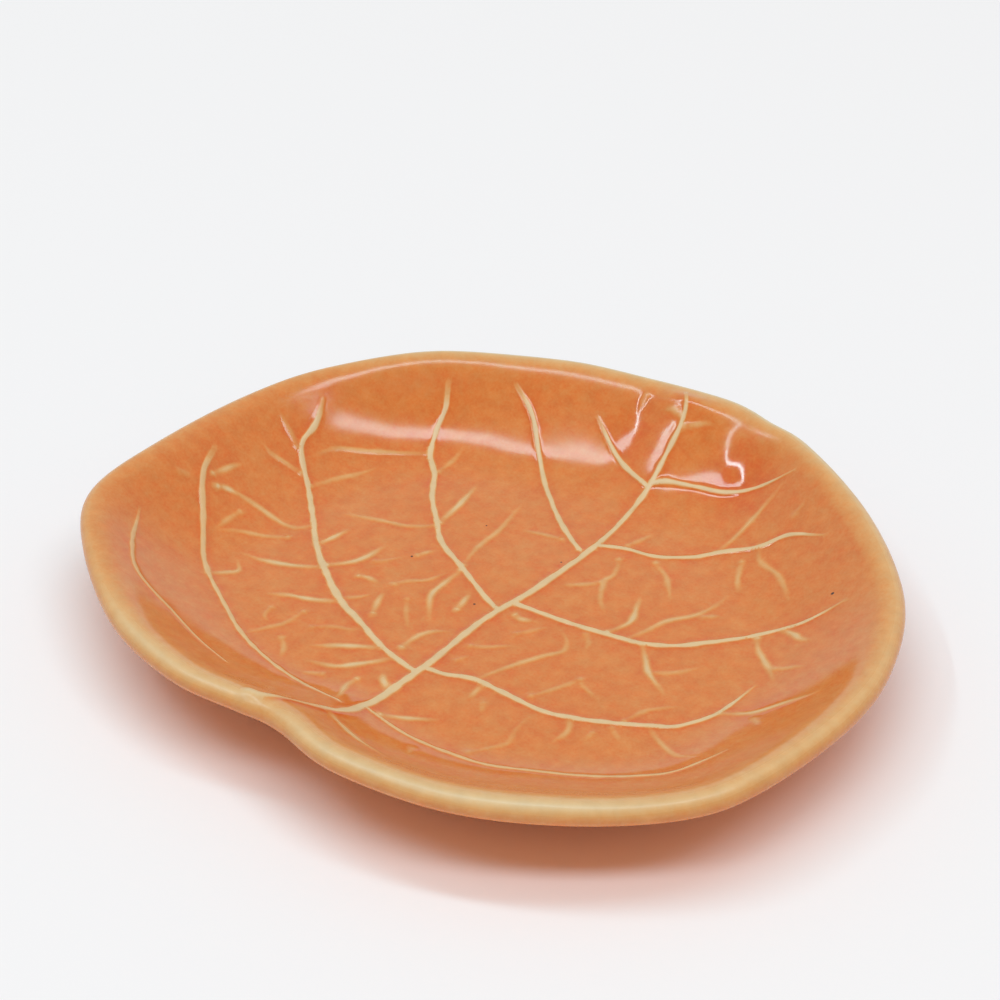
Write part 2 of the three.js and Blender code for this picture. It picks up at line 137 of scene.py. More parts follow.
# Small veins: how clear of glaze each one is, then its places
VEINS = [
    (0.8, [(58.7, -5.5), (65, -3), (70.5, 1.5), (75.5, 4.5)]),
    (0.5, [(-66, 5), (-70, 4), (-73, 3), (-75.5, 3.2)]),
    (0.6, [(-76.2, -13), (-75.6, -9.5), (-74.8, -5)]),
    (0.8, [(-73.5, -14.5), (-72, -13), (-69.5, -11.7)]),
    (0.3, [(-80, -20), (-78.2, -18)]),
    (0.6, [(-52.5, -6.3), (-56, -9.6), (-65, -10.5), (-71, -12.2), (-73.5, -14.5)]),
    (0.45, [(-54, -13), (-58, -16), (-62.5, -19), (-66, -22.7)]),
    (0.45, [(-66.5, -15), (-66.7, -19), (-66.5, -23)]),
    (0.6, [(-57.3, -35.5), (-55.3, -32), (-54, -29.5), (-56.5, -27)]),
    (0.8, [(-40.5, -17), (-46, -20.5), (-52, -23), (-57, -24)]),
    (0.8, [(-40, -15.7), (-37, -12), (-35.3, -8), (-34.8, -2)]),
    (0.5, [(-31, 11), (-36, 7), (-42, 5), (-50, 2)]),
    (0.8, [(-47, -11.3), (-46, -7), (-45.2, -2.5)]),
    (0.8, [(-29, -24.3), (-34.5, -27.7), (-38.5, -29.3), (-43, -31.8)]),
    (0.35, [(-39, -35.2), (-38.5, -38), (-36.5, -39.5)]),
    (0.4, [(-32.5, -32), (-33, -37.5), (-35, -41.5), (-37, -46)]),
    (0.6, [(-32, -14.5), (-30, -13.7), (-27.2, -13.6)]),
    (0.45, [(-23.8, -11.9), (-22.1, -9.2), (-19.1, -6.4), (-17.5, -2)]),
    (0.6, [(-20.5, -23.1), (-22.4, -19.2), (-23.8, -15.5)]),
    (0.4, [(-29.5, -23.3), (-26.8, -20.4), (-25.4, -17.8)]),
    (0.3, [(-27.3, -35.1), (-24.2, -32.4), (-20.3, -30.6), (-18.7, -28.8)]),
    (0.5, [(-26.8, -0.4), (-26, 1.4), (-25.2, 3.3)]),
    (0.25, [(-32.6, -8.1), (-30.6, -5.6), (-29, -3.1)]),
    (0.7, [(-15.5, 1), (-15.4, -5), (-14.7, -10.5), (-10, -16.5)]),
    (0.65, [(-7.2, -10.6), (-7.9, -7.5), (-8.7, -4.5)]),
    (0.35, [(-18, -14.5), (-15, -18.5), (-11.5, -22)]),
    (0.6, [(-7.8, -28.6), (-7.9, -25.3), (-7.5, -22.5), (-6.2, -20), (-3.8, -18)]),
    (0.8, [(-11, -31.5), (-16.5, -35.2), (-23, -40)]),
    (0.8, [(-6.5, -32.5), (-9, -36.2), (-12, -39.8), (-14.5, -42.5), (-20, -44.5)]),
    (0.9, [(0, -42), (-3, -40.2), (-5.2, -38)]),
    (0.6, [(-8, -43), (-8.2, -46), (-7, -49), (-5.2, -52.5)]),
    (0.4, [(-14.7, -46.2), (-18.5, -48.5)]),
    (0.45, [(-30, -42), (-27.5, -44.3), (-25.5, -47.5)]),
    (0.55, [(-49.5, 31), (-55, 26.5), (-61, 21.2), (-65.5, 16.5), (-67.3, 11)]),
    (0.45, [(-62, 4), (-60, 10), (-57.3, 15.5), (-55.5, 20)]),
    (0.4, [(-71, 9.5), (-74.5, 11), (-78, 12)]),
    (0.8, [(-31, 12.5), (-31.5, 18), (-32.3, 23), (-33.6, 29)]),
    (0.4, [(-44, 28), (-43.7, 32), (-44, 37)]),
    (0.5, [(-16.5, 3), (-18.3, 10.5), (-18.6, 18), (-20, 25), (-21, 30)]),
    (0.4, [(-5.5, 24.5), (-10, 23.5), (-14.5, 22)]),
    (0.5, [(9.5, 26), (11, 23), (12, 20.5), (11.7, 17.5), (13.5, 14), (15.5, 11), (18.5, 8.5)]),
    (0.45, [(11.5, 16.5), (8.5, 13), (5.5, 10.5)]),
    (0.4, [(7.7, 31.7), (8.7, 34.8), (9.6, 38.5)]),
    (0.5, [(16.5, 30), (21, 27.5), (24, 24.5), (27, 21)]),
    (0.7, [(23.5, 3), (25, 8), (24.5, 11), (23, 14), (21.5, 17.5)]),
    (0.6, [(28, 3.3), (29.7, 9), (31, 14), (34.5, 19), (36, 24), (36.2, 29)]),
    (0.35, [(36.5, 20), (39, 22.5)]),
    (0.7, [(32, 4), (36, -0.3), (39, -3.3), (45.5, -7)]),
    (0.4, [(39, -3), (43, 0.3), (46, 4.5)]),
    (0.65, [(50.3, 20.5), (52.5, 17.5), (56, 14.5), (59, 12.2), (62, 9)]),
    (0.4, [(60, 12.5), (62.5, 13.5), (65.5, 14.5)]),
    (0.7, [(53.5, 25), (57, 24.2), (59.5, 23), (62, 23)]),
    (0.5, [(33, 46), (36, 42.3), (43, 39.3), (49.5, 33.5)]),
    (0.5, [(32, 41), (33.5, 38), (35, 35), (37.5, 32)]),
    (0.55, [(25, 41.5), (26, 48), (26.8, 55), (28, 62)]),
    (0.3, [(36.2, 55), (36.7, 58.5)]),
    (0.55, [(11.8, -28), (14, -21), (17.5, -13), (20, -8.5), (18.5, -5), (15.5, -3)]),
    (0.3, [(8.6, -9.6), (10.4, -6.9), (12.1, -4.1)]),
    (0.4, [(3.5, -19.2), (6.4, -17.4), (10.4, -13.6)]),
    (0.25, [(4.4, -25.1), (5.4, -22)]),
    (0.3, [(20.3, -0.7), (22.5, -2.6), (23.4, -5.1)]),
    (0.6, [(4, -4.5), (6, -5), (8.5, -4)]),
    (0.4, [(44.5, -19.5), (46, -14), (50, -9)]),
    (0.4, [(24.3, -24.8), (26, -21), (27.8, -16.8), (28.9, -13)]),
    (0.35, [(29, -14), (31, -15.5), (35, -16.7)]),
    (0.5, [(14.2, -28.5), (14.7, -34)]),
    (0.5, [(35, -25.5), (37.3, -29.5), (37, -34)]),
    (0.5, [(49.5, -18), (54, -20.5), (60, -23), (64.5, -22)]),
    (0.3, [(41.7, -26.5), (41.7, -29)]),
    (0.3, [(43.8, -22.9), (47.4, -25.2)]),
    (0.65, [(4.5, -50), (7.5, -47.7), (14, -43.5)]),
    (0.3, [(26, -47.6), (28.2, -43.7), (30.2, -40.3), (29.1, -37), (28.4, -33), (28.2, -29.9)]),
    (0.3, [(18, -33), (19.5, -35.5)]),
    (0.4, [(67, -5.5), (69.5, -7.5)]),
    (0.7, [(-1, -60.6), (3.5, -62.6), (10, -64.6), (20, -66.5)]),
    (0.35, [(17.5, -55.5), (19, -58.5)]),
    (0.5, [(-1.5, 65.5), (1, 67.2), (4, 69)]),
    (0.5, [(-3.7, 67.2), (-6.5, 67.5), (-8, 67)]),
    (0.3, [(-14.5, 68.5), (-14, 65)]),
]

LINE_SHARES = 16


def smooth_line(points, step, closed=False):
    """Evenly spaced places on a smooth line through drawn points, with whatever the points carry."""
    drawn = np.array([*points, points[0]] if closed else points, float)
    before = drawn[-2] if closed else 2 * drawn[0] - drawn[1]
    after = drawn[1] if closed else 2 * drawn[-1] - drawn[-2]
    padded = np.vstack([before, drawn, after])
    share = np.linspace(0, 1, LINE_SHARES, endpoint=False)[:, None]
    pieces = []
    for a, b, c, d in zip(padded, padded[1:], padded[2:], padded[3:]):
        bend = (2 * a - 5 * b + 4 * c - d) * share**2 + (3 * b - a - 3 * c + d) * share**3
        pieces.append(b + ((c - a) * share + bend) / 2)
    line = np.vstack([*pieces, drawn[-1:]])
    walked = np.concatenate([[0], np.cumsum(np.hypot(*np.diff(line[:, :2], axis=0).T))])
    stops = np.linspace(0, walked[-1], max(3, round(walked[-1] / step) + 1))
    return np.stack([np.interp(stops, walked, column) for column in line.T], axis=1)


# The crest of the rim as a reach and a height for each direction from the middle of the leaf
RIM_STEP = 0.25
glaze_low, glaze_high = (np.array(corner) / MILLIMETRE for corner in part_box("outer_glaze"))
leaf_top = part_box("leaf_body")[1].z / MILLIMETRE
floor_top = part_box("inner_glaze")[0].z / MILLIMETRE
rim_height = leaf_top - RIM_WAVE * max(lift for _, _, lift in RIM)

rim_line = smooth_line(RIM, RIM_STEP, closed=True)[:-1]
rim_line[:, :2] *= ((glaze_high - glaze_low)[:2] - 2 * RIM_OUTSIDE) / RIM_SPAN
rim_angles = np.arctan2(rim_line[:, 1], rim_line[:, 0])
order = np.argsort(rim_angles)
rim_angles = rim_angles[order]
rim_reaches = np.hypot(*rim_line[order, :2].T)
rim_crests = rim_height + RIM_WAVE * rim_line[order, 2]


def round_the_leaf(drawn):
    """Turns in degrees and the values drawn for some of them, joined smoothly all the way round."""
    laps = [(turn + lap, *values) for lap in (-360, 0, 360) for turn, *values in drawn]
    return smooth_line(laps, 1).T


wall_turns, wall_widths, wall_straights = round_the_leaf(WALL)
bare_turns, bare_shares, bare_places = round_the_leaf(RIM_BARE)


def section_at(angle):
    """Reach and height of the crest in a direction, and width and straightness of the wall below it."""
    reach = np.interp(angle, rim_angles, rim_reaches, period=2 * math.pi)
    crest = np.interp(angle, rim_angles, rim_crests, period=2 * math.pi)
    turn = np.degrees(angle) % 360
    width = np.interp(turn, wall_turns, wall_widths)
    straight = np.interp(turn, wall_turns, wall_straights)
    return reach, crest, width, straight


# Two sections of the wall, one rounded all the way to the floor, and one straight with a tighter foot:
# shares of the width inside the crest, and how steep the wall is there
ROUND_WALL = ((0, 0.15, 1), (0, 1, 0))
STRAIGHT_WALL = ((0, 0.12, 0.62, 1), (0, 1, 1, 0))
SECTION_STEP = 0.0025
SECTION_SOFTNESS = 0.1
section_stops = np.arange(-0.5, 1.5, SECTION_STEP)


def wall_section(stops, steepness):
    """Steepness and fall all along a wall, softened, for a fall of one over a width of one."""
    drawn = np.interp(np.abs(section_stops), stops, steepness) * np.sign(section_stops)
    window = np.hanning(round(2 * SECTION_SOFTNESS / SECTION_STEP))
    steep = np.convolve(drawn, window / window.sum(), "same")
    fall = np.cumsum(steep) * SECTION_STEP
    fall -= np.interp(0, section_stops, fall)
    return steep / fall[-1], fall / fall[-1]


round_section = wall_section(*ROUND_WALL)
straight_section = wall_section(*STRAIGHT_WALL)


def wall_at(share, straight):
    """Steepness and fall at a share of the wall's width."""
    rounded = np.array([np.interp(share, section_stops, values) for values in round_section])
    straightened = np.array([np.interp(share, section_stops, values) for values in straight_section])
    return rounded * (1 - straight) + straightened * straight


def plain_height(places):
    """Height of the inner face without its ribs, and how far inside the crest each place is."""
    reach, crest, width, straight = section_at(np.arctan2(places[:, 1], places[:, 0]))
    inset = reach - np.hypot(*places.T)
    _, fall = wall_at(inset / width, straight)
    return crest - (crest - floor_top) * fall, inset


# Ribs and veins as lines of (across, along, half width, height, clearness, softness of the edges). A rib
# grows higher with its width and fades over its end. A vein swells between its ends, wider and higher the
# clearer it is, and starts with a knot.
RIB_STEP = 0.7
RIB_FULLNESS = 1.08
RIB_LEAST_HEIGHT = 0.1
RIB_HEIGHT_GAIN = 0.3
RIB_SOFTNESS = 0.3
RIB_END = 5
RIB_END_SHARE = 0.4
VEIN_SWELL = (0.08, 0.95)
VEIN_LEAST_HALF = 0.45
VEIN_HALF_GAIN = 0.4
VEIN_NECK = 0.45
VEIN_LEAST_HEIGHT = 0.04
VEIN_HEIGHT_GAIN = 0.16
VEIN_CLEARNESS = 1.4
VEIN_SOFTNESS = 0.85
KNOT_REACH = 0.8
KNOT_HALF = 0.4
KNOT_HEIGHT = 0.2

rib_lines = []
for clear, points in RIBS:
    line = smooth_line(points, RIB_STEP)
    half = line[:, 2] / 2
    to_end = np.minimum(np.arange(len(line))[::-1] * RIB_STEP / RIB_END, 1)
    taper = RIB_END_SHARE + (1 - RIB_END_SHARE) * to_end
    height = (RIB_LEAST_HEIGHT + RIB_HEIGHT_GAIN * half) * taper
    softness = np.full(len(line), RIB_SOFTNESS)
    rib_lines.append(np.column_stack([line[:, :2], RIB_FULLNESS * half, height, clear * taper, softness]))
for clear, points in VEINS:
    line = smooth_line(points, RIB_STEP)
    swell = np.sin(math.pi * np.linspace(*VEIN_SWELL, len(line)))
    knot = np.exp(-np.arange(len(line)) * RIB_STEP / KNOT_REACH)
    middle = VEIN_LEAST_HALF + VEIN_HALF_GAIN * clear
    half = middle * (VEIN_NECK + (1 - VEIN_NECK) * swell) + KNOT_HALF * knot
    height = (VEIN_LEAST_HEIGHT + VEIN_HEIGHT_GAIN * clear) * swell + KNOT_HEIGHT * knot
    clearness = np.minimum(VEIN_CLEARNESS * clear, 1) * np.maximum(swell, knot)
    softness = np.full(len(line), VEIN_SOFTNESS)
    rib_lines.append(np.column_stack([line[:, :2], half, height, clearness, softness]))


def beside(line, places):
    """Distance of each place from a line, and which of the line's stops, with its share, it lies beside."""
    start = line[:-1, :2]
    step = np.diff(line[:, :2], axis=0)
    away = places[:, None] - start[None]
    along = np.clip((away * step).sum(axis=-1) / (step**2).sum(axis=-1), 0, 1)
    gaps = np.linalg.norm(away - along[..., None] * step, axis=-1)
    nearest = gaps.argmin(axis=1)
    rows = np.arange(len(places))
    return gaps[rows, nearest], nearest + along[rows, nearest]


def fade(value, start, end):
    """One before start, nothing after end, and smooth between them."""
    share = np.clip((value - start) / (end - start), 0, 1)
    return 1 - share * share * (3 - 2 * share)


def noise_at(places, size, layer):
    """Smooth noise over the leaf, between -1 and 1."""
    return np.array([noise.noise(Vector((x / size, y / size, layer))) for x, y in places])


# A rib's foot spreads wider than its pale crest, its edges waver, and the clay rises a little on both sides
RIB_REACH = 6
RIB_FOOT = 1.9
POOL_REACH = 1.4
WAVER_SIZE = 3
WAVER_SHARE = 0.42
WAVER_LAYER = 5
SHOULDER = 0.12
SHOULDER_REACH = 5


def relief(places):
    """Rise of the ribs, how clear they are of glaze, and how much glaze has pooled beside them."""
    rise, clear, pool = np.zeros((3, len(places)))
    waver = 1 + WAVER_SHARE * noise_at(places, WAVER_SIZE, WAVER_LAYER)
    for line in rib_lines:
        low = line[:, :2].min(axis=0) - RIB_REACH
        high = line[:, :2].max(axis=0) + RIB_REACH
        near = np.flatnonzero(((places > low) & (places < high)).all(axis=1))
        if not len(near):
            continue
        gap, stop = beside(line, places[near])
        stops = np.arange(len(line))
        half, height, clearness, softness = (np.interp(stop, stops, column) for column in line.T[2:])
        half = half * waver[near]
        shoulder = SHOULDER * height * fade(gap, 0, SHOULDER_REACH)
        rise[near] = np.maximum(rise[near], height * fade(gap, 0, RIB_FOOT * half) + shoulder)
        shown = clearness * fade(gap, (1 - softness) * half, (1 + softness) * half)
        clear[near] = np.maximum(clear[near], shown)
        pooled = half * clearness * np.exp(-np.maximum(gap - half, 0) / POOL_REACH)
        pool[near] = np.maximum(pool[near], pooled)
    return rise, clear, pool


# The clay swells under the midrib towards the tip, and is hollow to the right of it. Places of the swell:
# across, along and its share
TIP_SWELL = [(1.5, 36, 0), (0.2, 47, 0.5), (-1.3, 58, 1), (-2.6, 66, 1), (-4, 70, 1)]
TIP_SWELL_REACH = 14
TIP_SWELL_HEIGHT = 2
TIP_HOLLOW = (22, 60)
TIP_HOLLOW_REACH = 12
TIP_HOLLOW_DEPTH = 1.6
RIM_SHELTER = 5
tip_line = smooth_line(TIP_SWELL, RIB_STEP)

# Slow waves left in the clay by hand pressing: height, size and layer of the noise
WAVES = [(0.35, 24, 3), (0.03, 6, 9)]


def unevenness(places, inset):
    """Rise and fall of the clay by its waves, and by the swell and hollow, which end at the rim's crest."""
    gap, stop = beside(tip_line, places)
    swell = np.interp(stop, np.arange(len(tip_line)), tip_line[:, 2]) * fade(gap, 0, TIP_SWELL_REACH)
    hollow = np.exp(-((np.hypot(*(places - TIP_HOLLOW).T) / TIP_HOLLOW_REACH) ** 2))
    broad = TIP_SWELL_HEIGHT * swell - TIP_HOLLOW_DEPTH * hollow
    slow = sum(height * noise_at(places, size, layer) for height, size, layer in WAVES)
    return slow + broad * (1 - fade(inset, 0, RIM_SHELTER))


# Places for the face's corners: its edge, then rows beside each rib's middle in shares of its half width,
# then an even spread between them
SPOKES = 540
EDGE_INSET = 1
RIB_ROWS = (0, 0.6, -0.6, 0.9, -0.9, 1.25, -1.25, 1.8, -1.8, 2.8, -2.8)
ROW_ROOM = 0.12
ROW_MARGIN = 0.4
SPREAD = 1.1
SPREAD_ROOM = 0.7
INSIDE_ONLY = 1
MERGE_GAP = 1e-5

spoke_angles = np.linspace(0, 2 * math.pi, SPOKES, endpoint=False)
spoke_reaches, spoke_crests, spoke_widths, spoke_straights = section_at(spoke_angles)
spoke_ways = np.stack([np.cos(spoke_angles), np.sin(spoke_angles)], axis=1)
edge = spoke_ways * (spoke_reaches - EDGE_INSET)[:, None]


def thin_out(wanted, room, kept, cells):
    """Keeps the places that have room around them, and files them by cell."""
    for place in wanted:
        column = int(place[0] // SPREAD_ROOM)
        row = int(place[1] // SPREAD_ROOM)
        around = [p for i in (-1, 0, 1) for j in (-1, 0, 1) for p in cells.get((column + i, row + j), ())]
        if all(math.hypot(place[0] - p[0], place[1] - p[1]) >= room for p in around):
            kept.append(place)
            cells.setdefault((column, row), []).append(place)


def inside_edge(places, margin):
    """Those places that lie inside the face's edge by a margin."""
    return places[plain_height(places)[1] > EDGE_INSET + margin]


rows = []
for line in rib_lines:
    forward = np.gradient(line[:, :2], axis=0)
    forward /= np.linalg.norm(forward, axis=1, keepdims=True)
    left = np.stack([-forward[:, 1], forward[:, 0]], axis=1)
    rows.extend(line[:, :2] + left * (row * line[:, 2])[:, None] for row in RIB_ROWS)
across = np.arange(glaze_low[0], glaze_high[0], SPREAD)
along = np.arange(glaze_low[1], glaze_high[1], SPREAD * math.sqrt(3) / 2)
spread = np.array([(x + SPREAD / 2 * (i % 2), y) for i, y in enumerate(along) for x in across])

kept = []
cells = {}
thin_out(edge, 0, kept, cells)
thin_out(inside_edge(np.vstack(rows), ROW_MARGIN), ROW_ROOM, kept, cells)
thin_out(inside_edge(spread, SPREAD / 2), SPREAD_ROOM, kept, cells)
edge_sides = [(i, (i + 1) % SPOKES) for i in range(SPOKES)]
corners, _, triangles, sources, *_ = geometry.delaunay_2d_cdt(
    [Vector(place) for place in kept], edge_sides, [], INSIDE_ONLY, MERGE_GAP
)
face_places = np.array([(corner.x, corner.y) for corner in corners])
corner_of_place = {place: corner for corner, found in enumerate(sources) for place in found}
edge_corners = [corner_of_place[spoke] for spoke in range(SPOKES)]

# Glaze on the face, in shares of its usual thickness on the floor: how far the bare rim fades inside and
# outside of where it is barest, how much a pool adds, and how much of it the clearest ribs lose
RIM_BARE_INSIDE = math.radians(42)
RIM_BARE_OUTSIDE = math.radians(80)
POOL_SHARE = 0.42
RIB_LOSS = 0.93
RIM_RIB_LOSS = 0.4

# Runs of thicker glaze: the share added, the half width, and places along the run
GLAZE_RUNS = [
    (0.3, 0.8, [(35.4, 63.4), (45, 56.5), (51.6, 51.7), (58.1, 46.4), (61.7, 43.2), (62.7, 40.7),
                (60.8, 38.3)]),
    (0.35, 11, [(10, 66), (18, 60), (25, 53)]),
    (0.25, 9, [(-18, 65), (-11, 61), (-8, 54)]),
    # The last one thickens the glaze in a band along the right side of the stem, which is darker there.
    (0.55, 1.8, [(-6.5, -71.8), (-4.8, -70), (-3, -67.4), (-1.2, -64.3), (0.8, -61.6), (2.6, -58.5)]),
]


def rim_bareness(angle, turn):
    """Share of the glaze that is gone at a turn over the rim: 0 at the crest, and negative outside it."""
    around = np.degrees(angle) % 360
    most = np.interp(around, bare_turns, bare_shares)
    barest = -np.radians(np.interp(around, bare_turns, bare_places))
    spread = np.where(turn < barest, RIM_BARE_OUTSIDE, RIM_BARE_INSIDE)
    return most * np.exp(-(((turn - barest) / spread) ** 2))


face_rise, face_clear, face_pool = relief(face_places)
face_plain, face_inset = plain_height(face_places)
face_heights = face_plain + face_rise + unevenness(face_places, face_inset)
face_angles = np.arctan2(face_places[:, 1], face_places[:, 0])
face_bare = rim_bareness(face_angles, face_inset / RIM_INSIDE)
face_thick = 1 + POOL_SHARE * face_pool
for added, half, points in GLAZE_RUNS:
    run_line = smooth_line(points, RIB_STEP)
    run_gap, run_stop = beside(run_line, face_places)
    run_share = run_stop / (len(run_line) - 1)
    face_thick += added * np.sqrt(4 * run_share * (1 - run_share)) * fade(run_gap, 0, half)
face_glaze = (1 - face_bare) * face_thick * (1 - RIB_LOSS * face_clear)

# Rings of corners from the face's edge over the rim and under the leaf to its flat underside. The slip
# begins part of the way over the rim.
RIM_STEPS = 16
UNDER_STEPS = 12
UNDER_START = 8
UNDER_RIM_THICKNESS = 4.7
UNDER_GLAZE = 1.25
SLIP_EDGE = (0.6, 1)
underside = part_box("base_glaze")[0].z / MILLIMETRE
leaf_thickness = floor_top - underside
spoke_depths = spoke_crests - floor_top

rings = []
ring_glaze = []
ring_slip = []
steep, _ = wall_at(UNDER_START / spoke_widths, spoke_straights)
under_slopes = np.arctan(steep * spoke_depths / spoke_widths)
for share in np.linspace(0, 1, RIM_STEPS):
    turn = (under_slopes - math.pi) * share
    flat = spoke_ways * (spoke_reaches - RIM_OUTSIDE * np.sin(turn))[:, None]
    height = spoke_crests - RIM_OUTSIDE + RIM_OUTSIDE * np.cos(turn)
    top = np.clip(np.cos(turn), 0, 1)
    rise, clear, _ = relief(flat)
    rings.append(np.column_stack([flat, height + top * (rise + unevenness(flat, np.zeros(SPOKES)))]))
    ring_glaze.append((1 - rim_bareness(spoke_angles, turn)) * (1 - RIM_RIB_LOSS * clear * top))
    ring_slip.append(np.full(SPOKES, 1 - fade(share, *SLIP_EDGE)))
for share in np.linspace(0, 1, UNDER_STEPS):
    inset = UNDER_START + (spoke_widths * (1 + SECTION_SOFTNESS) - UNDER_START) * share
    steep, fall = wall_at(inset / spoke_widths, spoke_straights)
    slope = np.arctan(steep * spoke_depths / spoke_widths)
    thick = UNDER_RIM_THICKNESS + (leaf_thickness - UNDER_RIM_THICKNESS) * share
    flat = spoke_ways * (spoke_reaches - inset + thick * np.sin(slope))[:, None]
    rings.append(np.column_stack([flat, spoke_crests - spoke_depths * fall - thick * np.cos(slope)]))
    ring_glaze.append(np.full(SPOKES, UNDER_GLAZE))
    ring_slip.append(np.ones(SPOKES))

leaf_corners = np.vstack([np.column_stack([face_places, face_heights]), *rings]) * MILLIMETRE
leaf_glaze = np.concatenate([face_glaze, *ring_glaze])
leaf_slip = np.concatenate([np.zeros(len(face_places)), *ring_slip])


def strips_between(loops):
    """Four-sided faces from each loop of corners to the next one."""
    return [[a[i], b[i], b[j], a[j]] for a, b in zip(loops, loops[1:]) for i, j in edge_sides]


def add_mesh(name, corners, faces):
    """An object in the scene with a smooth mesh, from corners in metres."""
    mesh = bpy.data.meshes.new(name)
    mesh.from_pydata(corners, [], faces)
    mesh.shade_smooth()
    made = bpy.data.objects.new(name, mesh)
    bpy.context.collection.objects.link(made)
    return made


ring_corners = np.arange(len(face_places), len(leaf_corners)).reshape(-1, SPOKES)
leaf_loops = [edge_corners, *ring_corners.tolist()]
leaf_faces = [*triangles, *strips_between(leaf_loops), leaf_loops[-1][::-1]]
leaf = add_mesh("glazed_leaf", leaf_corners.tolist(), leaf_faces)
for name, values in (("glaze", leaf_glaze), ("slip", leaf_slip)):
    carried = leaf.data.attributes.new(name, "FLOAT", "POINT")
    carried.data.foreach_set("value", values.astype(np.float32))

CLAY_COLOUR = (0.68, 0.55, 0.33, 1)
SLIP_COLOUR = (0.9, 0.8, 0.7, 1)
GLAZE_TINT = (0.95, 0.359, 0.106, 1)

# Clouds, mottle and specks in the thickness of the glaze, and grain in the clay: scale and strength
GLAZE_GRAIN = [(130, 0.35), (420, 0.6), (1500, 0.5)]
CLAY_GRAIN = (330, 0.22)

# Roughness where the glaze is thinnest and thickest
GLAZE_SPAN = (0.1, 1.3)
GLAZE_ROUGHNESS = (0.34, 0.07)
GLAZE_IOR = 1.5

# Pinholes where an iron speck burnt through the glaze: across, along and half width
PINHOLES = [
    (58.6, 36.2, 0.28), (-27.5, -1.5, 0.22), (0, 17.2, 0.17), (-5.5, -6.7, 0.22), (-22, 18.2, 0.15),
]
PINHOLE_HALO = 1.5
PINHOLE_COLOUR = (0.05, 0.015, 0.004, 1)


def put_on(tree, socket, value):
    """Links another node's output to a socket, or gives the socket a plain value."""
    if isinstance(value, bpy.types.NodeSocket):
        tree.links.new(value, socket)
    else:
        socket.default_value = value


def new_node(tree, kind, **inputs):
    """A shader node with values or links put on its inputs."""
    made = tree.nodes.new(kind)
    for name, value in inputs.items():
        put_on(tree, made.inputs[name.replace("_", " ")], value)
    return made


def new_maths(tree, operation, first, second, kind="ShaderNodeMath"):
    """The value worked out from two others."""
    made = tree.nodes.new(kind)
    made.operation = operation
    put_on(tree, made.inputs[0], first)
    put_on(tree, made.inputs[1], second)
    return made.outputs["Value"]


def new_mix(tree, kind, factor, first, second):
    """A value or colour that goes from a first one to a second one with a factor."""
    made = tree.nodes.new("ShaderNodeMix")
    made.data_type = kind
    for name, value in (("Factor", factor), ("A", first), ("B", second)):
        put_on(tree, made.inputs[name], value)
    return made.outputs["Result"]


def new_ramp(tree, value, span, ends):
    """A value that goes between two ends while another goes over a span."""
    made = new_node(tree, "ShaderNodeMapRange", Value=value)
    made.inputs["From Min"].default_value, made.inputs["From Max"].default_value = span
    made.inputs["To Min"].default_value, made.inputs["To Max"].default_value = ends
    return made.outputs["Result"]


def carried_value(tree, name):
    """A value that the mesh carries on its corners."""
    made = tree.nodes.new("ShaderNodeAttribute")
    made.attribute_name = name
    return made.outputs["Fac"]


def new_group(name, inputs, output, output_kind):
    """An empty node group with its sockets, and the sockets inside it where links start and end."""
    group = bpy.data.node_groups.new(name, "ShaderNodeTree")
    for socket, kind in inputs.items():
        group.interface.new_socket(socket, in_out="INPUT", socket_type=kind)
    group.interface.new_socket(output, in_out="OUTPUT", socket_type=output_kind)
    entry = group.nodes.new("NodeGroupInput").outputs
    result = group.nodes.new("NodeGroupOutput").inputs[output]
    return group, entry, result


def place_group(tree, group, **inputs):
    """What a node group puts out in a material that gives it its own values."""
    made = tree.nodes.new("ShaderNodeGroup")
    made.node_tree = group
    for name, value in inputs.items():
        put_on(tree, made.inputs[name], value)
    return made.outputs[0]


def glaze_over_clay():
    """Colour of clay seen through glaze: each part of the light fades with the glaze's thickness."""
    inputs = {"Clay": "NodeSocketColor", "Tint": "NodeSocketColor", "Thickness": "NodeSocketFloat"}
    group, entry, result = new_group("glaze_over_clay", inputs, "Colour", "NodeSocketColor")
    clay = new_node(group, "ShaderNodeSeparateColor", Color=entry["Clay"])
    tint = new_node(group, "ShaderNodeSeparateColor", Color=entry["Tint"])
    mixed = group.nodes.new("ShaderNodeCombineColor")
    for part in ("Red", "Green", "Blue"):
        passed = new_maths(group, "POWER", tint.outputs[part], entry["Thickness"])
        seen = new_maths(group, "MULTIPLY", clay.outputs[part], passed)
        group.links.new(seen, mixed.inputs[part])
    group.links.new(mixed.outputs["Color"], result)
    return group


def fired_grain():
    """Fine unevenness that the fire leaves in clay and glaze, as a share close to one."""
    inputs = {"Scale": "NodeSocketFloat", "Strength": "NodeSocketFloat"}
    group, entry, result = new_group("fired_grain", inputs, "Share", "NodeSocketFloat")
    place = group.nodes.new("ShaderNodeTexCoord").outputs["Object"]
    spots = new_node(group, "ShaderNodeTexNoise", Vector=place, Scale=entry["Scale"], Detail=3)
    level = new_maths(group, "SUBTRACT", spots.outputs["Fac"], 0.5)
    level = new_maths(group, "MULTIPLY", level, entry["Strength"])
    group.links.new(new_maths(group, "ADD", level, 1), result)
    return group


def new_material(name):
    """A material with its node tree and the inputs of its shader."""
    made = bpy.data.materials.new(name)
    made.use_nodes = True
    return made, made.node_tree, made.node_tree.nodes["Principled BSDF"].inputs


